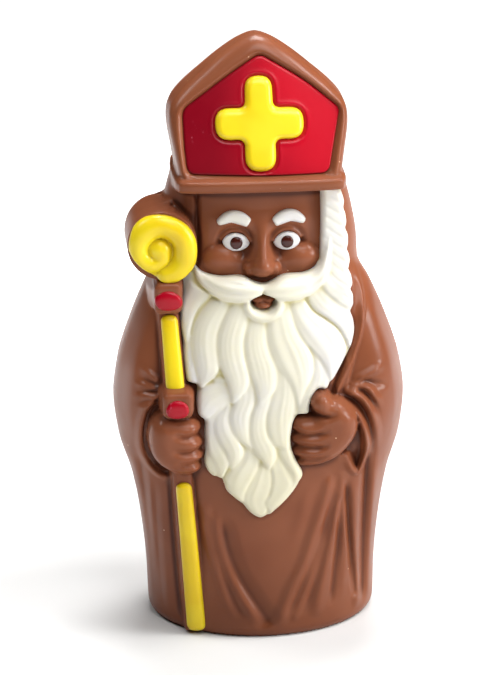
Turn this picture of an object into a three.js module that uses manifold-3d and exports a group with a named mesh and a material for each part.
// A moulded chocolate figure of a bearded bishop with a mitre and a crozier, in millimetres.
// +Z is up, the figure looks along -Y, and it stands on its flat underside at Z = 0.
// The two halves of the mould meet in one upright plane, the seam. A form is described by its
// depth in front of the seam, and by its depth behind it, so nothing is undercut.
import * as THREE from "three";
import { mergeVertices } from "three/addons/utils/BufferGeometryUtils.js";
import Module from "manifold-3d";

const wasm = await Module();
wasm.setup();

// Driving dimensions
const figureHeight = 170;
const seamPlace = 2.24; // the seam's Y, which centres the figure's depth on the origin
const gap = 0.3; // between an inlay of coloured chocolate and its pocket
const pocketReach = 9; // in gaps
const squareness = [[0, 2], [20, 2.05], [50, 2.3], [80, 2.4]]; // of the robe in plan; 2 is an ellipse
const sleeveBulge = 4;
const bandBottom = 128.4; // the mitre's hat band
const bandTop = 131.9;
const mitreFrontAtBand = 22.8; // the mitre's front and back lean together towards the peak
const mitreFrontAtPeak = 9.4;
const mitreBackAtBand = 20.5;
const mitreBackAtPeak = 5.5;
const rimRound = 1.6;
const panelSink = 1.1; // the red panel lies this far behind the mitre's rim
const crossRise = 1.4; // the cross stands this far out of the panel
const coilCentre = new THREE.Vector2(-27.2, 113.1); // the crozier's head
const coilRadius = 9.4;
const plateRadius = 8.9; // of the coil's flat back
const bulgeCentre = new THREE.Vector2(-27.3, 113.6); // the chocolate under the coil
const bulgeRadius = 10.05;
const coilBed = 20.4; // the depth from which it rises
const coilSink = 1.8;
const beardBottom = 36.6;
const beardTop = 128;
const beardSink = 2.2; // the beard's back lies this deep in the robe
const eyeOut = 7; // from the face's middle to the middle of an eye
const eyeHeight = 113.8;
const browHeight = 120.2;

// The robe and head: half-widths and depths, as [height, size]
const halfWidths = [
  [0, 32.2], [2.5, 33.4], [14, 33.6], [29, 34.9], [43, 37.2], [56, 40.9], [66, 41.9],
  [76, 40.6], [88, 36.7], [98, 32.4], [106, 28.5], [112, 28.2], [121, 26.7], [131, 24],
];
const frontDepths = [
  [0, 27], [2.5, 28.2], [20, 28.4], [45, 28.3], [60, 27.4], [75, 25.6], [90, 23], [103, 20.2],
  [115, 18.8], [131, 18.6],
];
const backDepths = [
  [0, 27], [2.5, 28.2], [30, 28.8], [60, 29.4], [75, 28.8], [90, 26.6], [103, 24.4],
  [115, 23.4], [131, 20],
];
const beardLefts = [
  [36, -2.2], [39.5, -6], [44, -10.4], [47.5, -12.6], [50, -16], [54, -17.4], [60, -17],
  [66, -18], [70, -19.6], [76, -20.8], [84, -22.4], [94, -23], [104, -22.6], [130, -22],
];
const beardRights = [
  [36, 0.8], [40, 3.8], [45, 7.6], [50, 10.2], [56, 12], [66, 15.4], [72, 18.2], [78, 21.6],
  [84, 24.4], [90, 25.4], [98, 25.2], [108, 24.4], [120, 23.6], [130, 21.4],
];

const finish = (color, roughness) =>
  new THREE.MeshStandardMaterial({ color, roughness, metalness: 0 });
const milk = finish(0x8f5940, 0.36);
const white = finish(0xf3f0dc, 0.4);
const yellow = finish(0xf3df22, 0.35);
const red = finish(0xbf1428, 0.3);
const dark = finish(0x3a1710, 0.2);

// Numbers and lines
const clamp = THREE.MathUtils.clamp;
const smooth = (share) => THREE.MathUtils.smoothstep(share, 0, 1);
const blend = THREE.MathUtils.lerp;
const steps = (count) => Array.from({ length: count + 1 }, (_, i) => i / count);

// Reads a table of [height, size] along a smooth curve without overshoot.
function read(table, z) {
  const above = table.findIndex((entry) => entry[0] > z);
  const k = above < 0 ? table.length - 2 : Math.max(above - 1, 0);
  const slope = (j) => (table[j + 1][1] - table[j][1]) / (table[j + 1][0] - table[j][0]);
  const tangent = (j) => {
    const before = slope(Math.max(j - 1, 0));
    const after = slope(Math.min(j, table.length - 2));
    return before * after <= 0 ? 0 : (2 * before * after) / (before + after);
  };
  const span = table[k + 1][0] - table[k][0];
  const t = clamp((z - table[k][0]) / span, 0, 1);
  const bulge = tangent(k) * t * (1 - t) ** 2 - tangent(k + 1) * t * t * (1 - t);
  return blend(table[k][1], table[k + 1][1], t * t * (3 - 2 * t)) + span * bulge;
}

// A smooth line through points [x, z], as short steps.
function line(points, count = 14) {
  return new THREE.SplineCurve(points.map(([x, z]) => new THREE.Vector2(x, z))).getPoints(count);
}

// How close a point comes to a line, and how far along the line (0 to 1) that is.
function nearest(path, x, z) {
  let best = { distance: Infinity, share: 0 };
  for (let i = 0; i + 1 < path.length; i++) {
    const [dx, dz] = [path[i + 1].x - path[i].x, path[i + 1].y - path[i].y];
    const along = (x - path[i].x) * dx + (z - path[i].y) * dz;
    const t = clamp(along / (dx * dx + dz * dz), 0, 1);
    const distance = Math.hypot(x - path[i].x - t * dx, z - path[i].y - t * dz);
    if (distance < best.distance) best = { distance, share: (i + t) / (path.length - 1) };
  }
  return best;
}

// A soft ridge along a line, or a groove where high is negative, fading at both ends.
function ridge(points, wide, high) {
  const path = line(points);
  return (x, z) => {
    const { distance, share } = nearest(path, x, z);
    return high * smooth(share / 0.25) * smooth((1 - share) / 0.12) * smooth(1 - distance / wide);
  };
}

// Solids
// Joins rings of points into one closed skin, with a fan over the first and the last ring.
function loft(rings) {
  const count = rings[0].length;
  const points = rings.flat();
  const index = [];
  for (let r = 0; r + 1 < rings.length; r++) {
    for (let i = 0; i < count; i++) {
      const j = (i + 1) % count;
      index.push(r * count + i, r * count + j, (r + 1) * count + j);
      index.push(r * count + i, (r + 1) * count + j, (r + 1) * count + i);
    }
  }
  for (const r of [0, rings.length - 1]) {
    const middle = rings[r].reduce((sum, p) => sum.add(p), new THREE.Vector3());
    points.push(middle.divideScalar(count));
    for (let i = 0; i < count; i++) {
      const edge = [r * count + i, r * count + ((i + 1) % count)];
      index.push(points.length - 1, ...(r === 0 ? edge.reverse() : edge));
    }
  }
  return solidOf(new THREE.BufferGeometry().setFromPoints(points).setIndex(index));
}

function solidOf(geometry) {
  geometry.deleteAttribute("normal");
  geometry.deleteAttribute("uv");
  const merged = mergeVertices(geometry, 1e-4);
  const corners = [];
  for (let i = 0; i < merged.index.count; i += 3) {
    const triangle = [0, 1, 2].map((j) => merged.index.getX(i + j));
    if (new Set(triangle).size === 3) corners.push(triangle);
  }
  const vertProperties = merged.attributes.position.array;
  const build = (triangles) =>
    new wasm.Manifold(
      new wasm.Mesh({ numProp: 3, vertProperties, triVerts: Uint32Array.from(triangles.flat()) }),
    );
  const made = build(corners);
  return made.volume() > 0 ? made : build(corners.map((triangle) => triangle.toReversed()));
}

const joined = (solids) => solids.reduce((sum, solid) => sum.add(solid));

// A point by its place across and up the figure and its depth in front of the seam
const spot = (x, depth, z) => new THREE.Vector3(x, seamPlace - depth, z);

// A solid between two depths, from the left edge to the right, row by row up the figure.
function relief({ heights, left, right, front, back, frontCount, backCount }) {
  const across = (z, share) => {
    const spread = 0.35 * share + 0.65 * (0.5 - 0.5 * Math.cos(Math.PI * share));
    return blend(left(z), right(z), spread);
  };
  const rows = heights.map((z) => [
    ...steps(frontCount).map((t) => spot(across(z, t), front(across(z, t), z), z)),
    ...steps(backCount).map((t) => spot(across(z, 1 - t), back(across(z, 1 - t), z), z)),
  ]);
  return loft(rows);
}

// Moves a closed outline inwards (or outwards, where the distance is negative).
function inset(outline, distance) {
  const count = outline.length;
  return outline.map((p, i) => {
    const along = outline[(i + 1) % count].clone().sub(outline[(i + count - 1) % count]);
    return p.clone().add(new THREE.Vector2(-along.y, along.x).setLength(distance));
  });
}

// A raised form with a given outline (counter-clockwise). Each level is [inset, depth], where
// the depth is a number, or a function of the height. The grown form is the cutter of a pocket,
// so it is deeper at the back, wider all round, and reaches well out to the front.
function boss(outline, levels, grow = 0) {
  return loft(
    levels.map(([distance, depth], i) => {
      const further = i === 0 ? -grow : pocketReach * grow;
      const depthAt = typeof depth === "function" ? depth : () => depth;
      return inset(outline, distance - grow).map((p) => spot(p.x, depthAt(p.y) + further, p.y));
    }),
  );
}

function ball(x, depth, z, wide, deep, high, segments = 12) {
  const geometry = new THREE.SphereGeometry(1, segments, Math.round(segments * 0.6));
  const place = spot(x, depth, z);
  return solidOf(geometry.scale(wide, deep, high).translate(place.x, place.y, place.z));
}

// A rod with round ends between two places given as [x, depth, z].
function rod(from, to, radius) {
  const [start, end] = [spot(...from), spot(...to)];
  const reach = end.clone().sub(start);
  const middle = start.clone().add(end).divideScalar(2);
  const up = new THREE.Vector3(0, 1, 0);
  const geometry = new THREE.CapsuleGeometry(radius, reach.length(), 2, 8);
  geometry.applyQuaternion(new THREE.Quaternion().setFromUnitVectors(up, reach.normalize()));
  return solidOf(geometry.translate(middle.x, middle.y, middle.z));
}

function tube(points, radius, count) {
  const extrudePath = new THREE.CatmullRomCurve3(points.map((p) => spot(...p)));
  const section = new THREE.Shape().absarc(0, 0, radius, 0, 2 * Math.PI);
  const options = { extrudePath, steps: count, curveSegments: 4 };
  return solidOf(new THREE.ExtrudeGeometry(section, options));
}

// The robe, with the head inside the hood, down to the flat underside
const folds = [
  ridge([[-16.6, 49], [-14.9, 36], [-11.9, 25], [-7, 14], [-0.5, 5]], 3.4, -1.5),
  ridge([[-18.6, 47], [-17, 31], [-12.5, 15], [-8.5, 4]], 2.6, 1),
  ridge([[19.8, 49], [16.6, 40], [12.2, 28], [6.7, 14], [1.4, 3]], 3.2, 1.6),
  ridge([[22.3, 48], [20, 36], [15.8, 21], [11.3, 5]], 3, -1.5),
  ridge([[21.6, 41], [20.8, 29], [19.7, 16], [18.3, 3]], 2.4, 1.4),
  ridge([[23.4, 44], [25, 27], [26.6, 9], [27.2, 1]], 2.4, -1.8),
  ridge([[29, 52], [29.8, 36], [29.8, 20], [29.4, 5]], 2.8, 2),
  ridge([[-30.4, 50], [-30.8, 30], [-29.6, 8]], 2.4, -1.8),
  ridge([[-27, 46], [-27.3, 26], [-26.6, 4]], 2.4, 1.6),
  ridge([[-36.5, 77.5], [-32.5, 76], [-29, 73.5]], 2.4, 1.5),
  ridge([[23.5, 72], [27, 74], [33, 75]], 2.4, 1.5),
  ridge([[26.9, 106], [28.4, 97], [28, 88], [25, 79], [22.4, 68]], 2.2, 1.5),
  ridge([[-17.2, 130], [-17.4, 118], [-17.4, 104]], 2.2, -1.8),
];
const arms = [
  line([[-33, 92], [-35.5, 76], [-32, 65], [-27, 60]]),
  line([[33, 92], [35.5, 76], [32, 65], [26, 60]]),
];

function oval(x, z, deep) {
  const power = read(squareness, z);
  return deep * (1 - clamp(Math.abs(x) / read(halfWidths, z), 0, 1) ** power) ** (1 / power);
}

const plainFront = (x, z) => oval(x, z, read(frontDepths, z));

function robeFront(x, z) {
  const toEdge = 1 - Math.abs(x) / read(halfWidths, z);
  const fold = folds.reduce((sum, one) => sum + one(x, z), 0);
  const reach = nearest(arms[x < 0 ? 0 : 1], x, z).distance;
  const sleeve = sleeveBulge * smooth(1 - reach / 14) * smooth((106 - z) / 12);
  return plainFront(x, z) + smooth(toEdge / 0.14) * (fold + sleeve);
}

function robeBack(x, z) {
  const wide = read(halfWidths, z);
  const wave = Math.cos((15 * x) / wide) * smooth((100 - z) / 70) * smooth(z / 4);
  return oval(x, z, read(backDepths, z)) + 0.9 * wave * smooth((1 - Math.abs(x) / wide) / 0.3);
}

function robe() {
  const courses = 32;
  return relief({
    heights: [0, 1.2, ...steps(courses).map((t) => blend(3, bandTop - 2, t))],
    left: (z) => -read(halfWidths, z),
    right: (z) => read(halfWidths, z),
    front: robeFront,
    back: (x, z) => -robeBack(x, z),
    frontCount: 29,
    backCount: 9,
  });
}

// The rolled edge of a sleeve, round the left or right of a fist.
function cuff(points) {
  const route = points.map(([x, z]) => [x, robeFront(x, z), z]);
  return tube(route, 1.9, 12);
}

// The mitre: its front and its back lean together, and the rim stands round the red panel
const leaning = (atBand, atPeak, change) => (z) =>
  blend(atBand, atPeak, (z - bandBottom) / (figureHeight - bandBottom)) + change;
const mitreFront = (change) => leaning(mitreFrontAtBand, mitreFrontAtPeak, change);
const mitreBack = (change) => leaning(-mitreBackAtBand, -mitreBackAtPeak, change);

function mitreOutline() {
  const [foot, footZ, shoulder, shoulderZ] = [22.9, bandBottom + 1, 20.9, 155.2];
  const [tip, tipZ] = [2.6, figureHeight - 0.9];
  const shape = new THREE.Shape().moveTo(-foot, footZ).lineTo(foot, footZ);
  shape.bezierCurveTo(23.2, 137, 25, 141, 25, 146.6);
  shape.quadraticCurveTo(25, 151.4, shoulder, shoulderZ);
  shape.quadraticCurveTo(12.5, 162.7, tip, tipZ);
  shape.quadraticCurveTo(0, 2 * figureHeight - tipZ, -tip, tipZ);
  shape.quadraticCurveTo(-12.5, 162.7, -shoulder, shoulderZ);
  shape.quadraticCurveTo(-25, 151.4, -25, 146.6);
  shape.bezierCurveTo(-25, 141, -23.2, 137, -foot, footZ);
  return shape.getPoints(5).slice(0, -1);
}

function mitre() {
  return boss(mitreOutline(), [
    [2 * rimRound, mitreBack(0)],
    [rimRound, mitreBack(rimRound)],
    [0, 0],
    [rimRound, mitreFront(-rimRound)],
    [1.9 * rimRound, mitreFront(0)],
  ]);
}

// The hat band, whose plan is a little wider than the mitre's.
function band() {
  const quarter = [[24.1, 0], [23.7, 14], [22.9, 20.6], [20.6, 23.2], [10, 24.2]];
  const front = [...quarter, [0, 24.3], ...quarter.slice(1).reverse().map(([x, d]) => [-x, d])];
  const back = front.slice(1).map(([x, depth]) => [-x, -0.9 * depth]);
  const plan = [...front, [-24.1, 0], ...back].map(([x, depth]) => new THREE.Vector2(x, depth));
  const ring = (z, less) => inset(plan, less).map((p) => spot(p.x, p.y, z));
  return loft([
    ring(bandBottom, 1),
    ring(bandBottom + 0.8, 0),
    ring(bandTop - 0.8, 0),
    ring(bandTop, 1),
  ]);
}

// A closed outline whose corners, each [x, z, rounding], are drawn round.
function roundedShape(corners) {
  const shape = new THREE.Shape();
  corners.forEach(([x, z, size], i) => {
    const corner = new THREE.Vector2(x, z);
    const [start, end] = [corners.at(i - 1), corners[(i + 1) % corners.length]].map(([px, pz]) =>
      new THREE.Vector2(px, pz).sub(corner).setLength(size).add(corner),
    );
    if (i === 0) shape.moveTo(start.x, start.y);
    else shape.lineTo(start.x, start.y);
    shape.quadraticCurveTo(x, z, end.x, end.y);
  });
  return shape.getPoints(4);
}

function panel(grow) {
  const outline = roundedShape([
    [-19, 133.1, 3], [17.9, 132.9, 3], [20.1, 138.4, 2.6], [21.3, 148.6, 2.4], [0.3, 163.8, 1.8],
    [-20.8, 149.2, 2.4], [-20.6, 138, 2.6],
  ]);
  const levels = [
    [0, mitreFront(-panelSink - 2.2)],
    [0, mitreFront(-panelSink - 0.4)],
    [0.4, mitreFront(-panelSink)],
  ];
  return boss(outline, levels, grow);
}

// A cross with round ends, its lower arm a little wider than the others.
function cross(grow) {
  const [middle, top, bottom, side] = [146.1, 158.6, 134, 12.1];
  const branches = [
    { angle: -90, half: 4.2, reach: middle - bottom },
    { angle: 0, half: 4.1, reach: side },
    { angle: 90, half: 3.8, reach: top - middle },
    { angle: 180, half: 4.1, reach: side },
  ];
  const points = branches.flatMap(({ angle, half, reach }) =>
    [-90, -60, -30, 0, 30, 60, 90].map((turn) => {
      const [s, c] = [Math.sin((turn * Math.PI) / 180), Math.cos((turn * Math.PI) / 180)];
      const end = new THREE.Vector2(reach - half + half * c, half * s);
      return end.rotateAround(new THREE.Vector2(), (angle * Math.PI) / 180);
    }),
  );
  const outline = points.flatMap((p, i) => (i % 7 === 0 ? [innerCorner(points, i), p] : [p]));
  const rise = crossRise - panelSink;
  const levels = [
    [0, mitreFront(rise - 2.4)],
    [0, mitreFront(rise - 0.8)],
    [0.35, mitreFront(rise - 0.2)],
    [1.1, mitreFront(rise)],
  ];
  return boss(outline.map((p) => p.add(new THREE.Vector2(0, middle))), levels, grow);
}

// Where the sides of two neighbouring arms of the cross would meet, rounded a little.
function innerCorner(points, i) {
  const [before, after] = [points[(i + points.length - 1) % points.length], points[i]];
  const upright = Math.abs(before.x) < Math.abs(after.x);
  const x = upright ? before.x : after.x;
  const z = upright ? after.y : before.y;
  return new THREE.Vector2(x * 1.06, z * 1.06);
}

// The crozier: a coil on a bulge beside the head, two knobs with gems, and a staff
function circle(centre, radius, count) {
  return Array.from({ length: count }, (_, i) => {
    const turn = (2 * Math.PI * i) / count;
    return new THREE.Vector2(Math.cos(turn), Math.sin(turn)).multiplyScalar(radius).add(centre);
  });
}

function coilBulge(grow) {
  const levels = [[8, -12], [4, -10], [1.4, -6], [0, 0], [0.4, 18], [1.2, coilBed]];
  return boss(circle(bulgeCentre, bulgeRadius, 22), levels, grow);
}

const coilPlate = (grow) =>
  boss(circle(coilCentre, plateRadius, 22), [[0, coilBed - coilSink], [0, coilBed + 0.8]], grow);

// The pocket of the plate, and room for the coil where it passes over the upper knob.
function coilPocket(grow) {
  const room = [[0, coilBed + 0.4], [0, coilBed + 3]];
  return joined([coilPlate(grow), boss(circle(coilCentre, coilRadius, 22), room, grow)]);
}

// The coil tapers from its foot, over the top and down again to a bead in the middle.
function coil() {
  const [sides, turns, start, end] = [8, 0.93, 3.2, 2.5];
  const rings = steps(22).map((t) => {
    const turn = 2 * Math.PI * turns * t;
    const thick = blend(start, end, t);
    const reach = coilRadius - start - 1.7 * smooth((t - 0.62) / 0.38);
    return steps(sides - 1).map((s) => {
      const around = 2 * Math.PI * s * (1 - 1 / sides);
      const out = reach + thick * Math.cos(around);
      const depth = coilBed + 0.1 + Math.max(thick * Math.sin(around), 0.3);
      return spot(coilCentre.x + out * Math.sin(turn), depth, coilCentre.y - out * Math.cos(turn));
    });
  });
  const bead = ball(coilCentre.x - 0.2, coilBed + 1, coilCentre.y, 3, 2.6, 3);
  return joined([coilPlate(0), loft(rings), bead]);
}

// A square outline with soft corners, by its half-width and half-height.
function softSquare(x, z, wide, high) {
  const round = 2;
  const shape = new THREE.Shape().moveTo(-wide + round, -high).lineTo(wide - round, -high);
  shape.quadraticCurveTo(wide, -high, wide, -high + round).lineTo(wide, high - round);
  shape.quadraticCurveTo(wide, high, wide - round, high).lineTo(-wide + round, high);
  shape.quadraticCurveTo(-wide, high, -wide, high - round).lineTo(-wide, -high + round);
  shape.quadraticCurveTo(-wide, -high, -wide + round, -high);
  return shape.getPoints(3).slice(0, -1).map((p) => p.add(new THREE.Vector2(x, z)));
}

// A knob on a pedestal that runs back into the robe.
function knob({ x, z, wide, high, front }, grow) {
  const levels = [[-1.4, 6], [0, front - 1.6], [0.6, front - 0.4], [1.5, front]];
  return boss(softSquare(x, z, wide, high), levels, grow);
}

const upperKnob = { x: -26.1, z: 100.4, wide: 3.9, high: 3.9, front: 23.8 };
const lowerKnob = { x: -24.3, z: 71.2, wide: 4.2, high: 3.7, front: 31.8 };
const gems = {
  gem_upper: { x: -26.1, z: 99.4, wide: 3.7, high: 2.4, front: upperKnob.front },
  gem_lower: { x: -24.5, z: 70.4, wide: 3.1, high: 2.4, front: lowerKnob.front },
};
const staffs = {
  staff_upper: { top: [-26, 94.6, 2.35, 22.6], bottom: [-24.8, 75.4, 2.6, 27.4] },
  staff_lower: { top: [-23.2, 47.6, 2.25, 28.4], bottom: [-20.1, 1.3, 2.75, 24.4] },
};

const gem = ({ x, z, wide, high, front }, grow) =>
  ball(x, front - 0.5, z, wide + grow, 1.6 + grow, high + grow);

// A straight bar from top to bottom, each given as [x, z, half-width, depth].
function bar({ top, bottom }, levels, grow) {
  const rounding = [[1, 0.125], [0.9, 0.31], [0.62, 0.45], [0.25, 0.5]];
  const end = ([x, z, half], up, side) =>
    rounding.map(([across, along]) => [x + side * half * across, z + up * half * (along - 0.5)]);
  const sides = [
    ...end(bottom, -1, 1).reverse(), ...end(top, 1, 1), ...end(top, 1, -1).reverse(),
    ...end(bottom, -1, -1),
  ];
  const outline = sides.map(([x, z]) => new THREE.Vector2(x, z));
  const front = (z) => blend(bottom[3], top[3], (z - bottom[1]) / (top[1] - bottom[1]));
  const courses = levels.map(([distance, depth]) => [distance, (z) => front(z) + depth]);
  return boss(outline, courses, grow);
}

const staff = (ends, grow) => bar(ends, [[0, -3.2], [0, -0.9], [0.45, -0.25], [1.3, 0]], grow);

// The chocolate under a staff, which falls away to the robe on both sides.
const staffBed = ({ top, bottom }, grow) => {
  const foot = bottom.with(1, bottom[1] + 1.8);
  return bar({ top, bottom: foot }, [[-2.6, -14], [-0.7, -1.4]], grow);
};

// Hands
const leftKnuckles = [64.9, 60.8, 56.8, 53.2];
const rightKnuckles = [64.2, 60.2, 56.6, 53.7];

function leftFist(grow) {
  const fingers = leftKnuckles.map((z) => rod([-27, 29.2, z], [-19.9, 29.4, z], 2.15 + grow));
  const palm = boss(softSquare(-22.9, 59.1, 4.9, 7.3), [[-0.6, 10], [0, 29]], grow);
  return joined([ball(-25.4, 20, 58.9, 6.9 + grow, 11.2 + grow, 8.2 + grow), palm, ...fingers]);
}

function rightFist(grow) {
  const fingers = rightKnuckles.map((z) => rod([16.6, 29.4, z], [9.7, 29.4, z], 2.1 + grow));
  return joined([
    boss(softSquare(13.2, 59, 5.1, 6.8), [[-0.6, 10], [0, 29]], grow),
    ball(18.1, 20, 61, 7.9 + grow, 11 + grow, 9 + grow),
    rod([20.4, 27.5, 67], [15.3, 29, 70.3], 2.6 + grow),
    ...fingers,
  ]);
}

// The face: nose, cheeks and lips are chocolate, eyes and brows are inlays
const nose = (grow) =>
  joined([
    ball(0, 20.6, 106.3, 3.9 + grow, 5.2 + grow, 3.2 + grow, 14),
    ball(-3.4, 19.4, 105.9, 2.2 + grow, 3.4 + grow, 2 + grow, 9),
    ball(3.4, 19.4, 105.9, 2.2 + grow, 3.4 + grow, 2 + grow, 9),
    rod([0, 18.6, 118], [0, 20.6, 108], 1.9 + grow),
  ]);
const cheek = (side, grow) => ball(side * 10.7, 16, 108.4, 4.6 + grow, 5.4 + grow, 3.7 + grow);
const lips = (grow) => ball(0, 17.6, 97.8, 3.4 + grow, 7.4 + grow, 1.9 + grow);
const eye = (side, grow) =>
  ball(side * eyeOut, 17, eyeHeight, 3.3 + grow, 2.7 + grow, 3 + grow, 14);
const pupil = (side, grow) =>
  ball(side * (eyeOut - 0.1), 19.3, eyeHeight - 0.1, 1.45 + grow, 0.9 + grow, 1.45 + grow, 9);

function brow(side, grow) {
  const route = [[4.1, -0.9], [6.4, 0.5], [9, 0.6], [11.6, -0.8]];
  const points = route.map(([x, z]) => [side * x, plainFront(x, browHeight) + 0.1, browHeight + z]);
  return tube(points, 1.35 + grow, 8);
}

// The beard: locks of hair, each a waved line with its half-width and height
const locks = [];
const lockTiers = [
  { count: 8, rootZ: 99, tipZ: 68, rootX: 15, tipX: 20.5, wide: 3.5, high: 2.3 },
  { count: 7, rootZ: 82, tipZ: 53, rootX: 15, tipX: 14.5, wide: 3.3, high: 1.7 },
  { count: 5, rootZ: 66, tipZ: 44.5, rootX: 10.5, tipX: 9, wide: 3, high: 1.2 },
  { count: 3, rootZ: 56, tipZ: 38.5, rootX: 4.4, tipX: 3.6, wide: 2.8, high: 0.8 },
];
for (const { count, rootZ, tipZ, rootX, tipX, wide, high } of lockTiers) {
  for (const share of steps(count - 1)) {
    const side = 2 * share - 1;
    const rise = 4.5 * side * side;
    const route = steps(4).map((t) => [
      side * blend(rootX, tipX, t) + 1.7 * Math.sin(2 * Math.PI * t),
      blend(rootZ + rise, tipZ + 3.2 * rise, t),
    ]);
    locks.push({ path: line(route, 10), wide, high });
  }
}
for (const share of steps(6)) {
  const z = blend(126, 88, share);
  const route = [[17.2, z + 1], [20, z - 1.5], [23, z - 5.5], [25, z - 7]];
  locks.push({ path: line(route, 8), wide: 2.9, high: 1.5 });
}
const whiskers = [-1, 1].map((side) =>
  line([[side, 101.2], [side * 6, 100.8], [side * 13, 101.3], [side * 18.5, 103.6], [side * 21.5, 107]]),
);

function beardFront(x, z) {
  const [left, right] = [read(beardLefts, z), read(beardRights, z)];
  const across = clamp(Math.abs(2 * x - left - right) / (right - left), 0, 1);
  let lock = 0;
  for (const { path, wide, high } of locks) {
    const { distance, share } = nearest(path, x, z);
    const width = wide * (0.7 + 0.5 * Math.sin(Math.PI * Math.min(share + 0.12, 1)));
    if (distance < width) lock = Math.max(lock, high * Math.sqrt(1 - (distance / width) ** 2));
  }
  const puff = 0.8 + 3 * (1 - across ** 3) * smooth((z - 34) / 20) * smooth((116 - z) / 14);
  const { distance, share } = nearest(whiskers[x < 0 ? 0 : 1], x, z);
  const fat = 0.4 + 3.5 * Math.sin(Math.PI * (0.22 + 0.72 * share));
  const bulge = distance < fat ? 3.2 * Math.sqrt(1 - (distance / fat) ** 2) : 0;
  return plainFront(x, z) + Math.max(puff + lock, bulge > 0 ? 2 + bulge : 0);
}

// The outline of the face, open to the band above and to the hood on the left.
function faceOpening(grow) {
  const chin = line([
    [-22.4, 108.4], [-20.2, 108], [-17.4, 105.4], [-12, 104.4], [-5.5, 104.4], [0, 102.6],
    [5.5, 104.4], [12, 104.6], [15.6, 106.8], [16.9, 112], [16.7, 120], [17.4, 127],
  ], 26);
  const corners = [[17.4, 134], [-32, 134], [-32, 108.6]].map(([x, z]) => new THREE.Vector2(x, z));
  const shape = new THREE.Shape(inset([...chin, ...corners], -grow));
  const options = { depth: 40, bevelEnabled: false };
  const geometry = new THREE.ExtrudeGeometry(shape, options);
  return solidOf(geometry.rotateX(Math.PI / 2).translate(0, seamPlace, 0));
}

function beardSlab(grow, front) {
  const courses = 28;
  return relief({
    heights: steps(courses).map((t) => blend(beardBottom - grow, beardTop + grow, t)),
    left: (z) => read(beardLefts, z) - grow,
    right: (z) => read(beardRights, z) + grow,
    front,
    back: (x, z) => plainFront(x, z) - beardSink - grow,
    frontCount: 21,
    backCount: 5,
  }).subtract(faceOpening(-grow));
}

// Puts the pieces together
const inlays = {
  mitre_panel: { made: panel, material: red },
  crozier_head: { made: (grow) => (grow > 0 ? coilPocket(grow) : coil()), material: yellow },
  staff_upper: { made: (grow) => staff(staffs.staff_upper, grow), material: yellow },
  staff_lower: { made: (grow) => staff(staffs.staff_lower, grow), material: yellow },
  gem_upper: { made: (grow) => gem(gems.gem_upper, grow), material: red },
  gem_lower: { made: (grow) => gem(gems.gem_lower, grow), material: red },
  eye_left: { made: (grow) => eye(-1, grow), material: white },
  eye_right: { made: (grow) => eye(1, grow), material: white },
  brow_left: { made: (grow) => brow(-1, grow), material: white },
  brow_right: { made: (grow) => brow(1, grow), material: white },
};

// What stands out of the robe and the face beside the beard, or in front of it
function raised(grow) {
  return [
    coilBulge(grow), knob(upperKnob, grow), knob(lowerKnob, grow), leftFist(grow),
    staffBed(staffs.staff_upper, grow), staffBed(staffs.staff_lower, grow), rightFist(grow),
    nose(grow), cheek(-1, grow), cheek(1, grow), lips(grow),
  ];
}

function chocolateBody() {
  const cuffs = [
    cuff([[-28.5, 72.6], [-32.2, 70], [-34.4, 64], [-34.8, 56], [-32.6, 50], [-29.5, 47.6]]),
    cuff([[22.5, 69.2], [26.4, 66.4], [28.3, 60], [28.4, 54], [27, 50], [25.2, 47.8]]),
  ];
  const pocket = beardSlab(gap, () => 60);
  const dressed = joined([robe(), ...cuffs]).subtract(pocket);
  const whole = joined([dressed, mitre(), band(), ...raised(0)]);
  return Object.values(inlays).reduce((body, { made }) => body.subtract(made(gap)), whole);
}

function beard() {
  return beardSlab(0, beardFront).subtract(joined(raised(gap)));
}

function meshOf(name, solid, material) {
  const mesh = solid.getMesh();
  const geometry = new THREE.BufferGeometry();
  geometry.setAttribute("position", new THREE.BufferAttribute(mesh.vertProperties, 3));
  geometry.setIndex(new THREE.BufferAttribute(mesh.triVerts, 1));
  geometry.computeVertexNormals();
  const made = new THREE.Mesh(geometry, material);
  made.name = name;
  return made;
}

const santa = new THREE.Group();
santa.add(meshOf("figure", chocolateBody(), milk));
santa.add(meshOf("beard", beard(), white));
for (const [name, { made, material }] of Object.entries(inlays)) {
  const holes = { mitre_panel: [cross(gap)], eye_left: [pupil(-1, gap)], eye_right: [pupil(1, gap)] };
  const solid = (holes[name] ?? []).reduce((left, hole) => left.subtract(hole), made(0));
  santa.add(meshOf(name, solid, material));
}
santa.add(meshOf("mitre_cross", cross(0), yellow));
santa.add(meshOf("pupil_left", pupil(-1, 0), dark));
santa.add(meshOf("pupil_right", pupil(1, 0), dark));

export default santa;
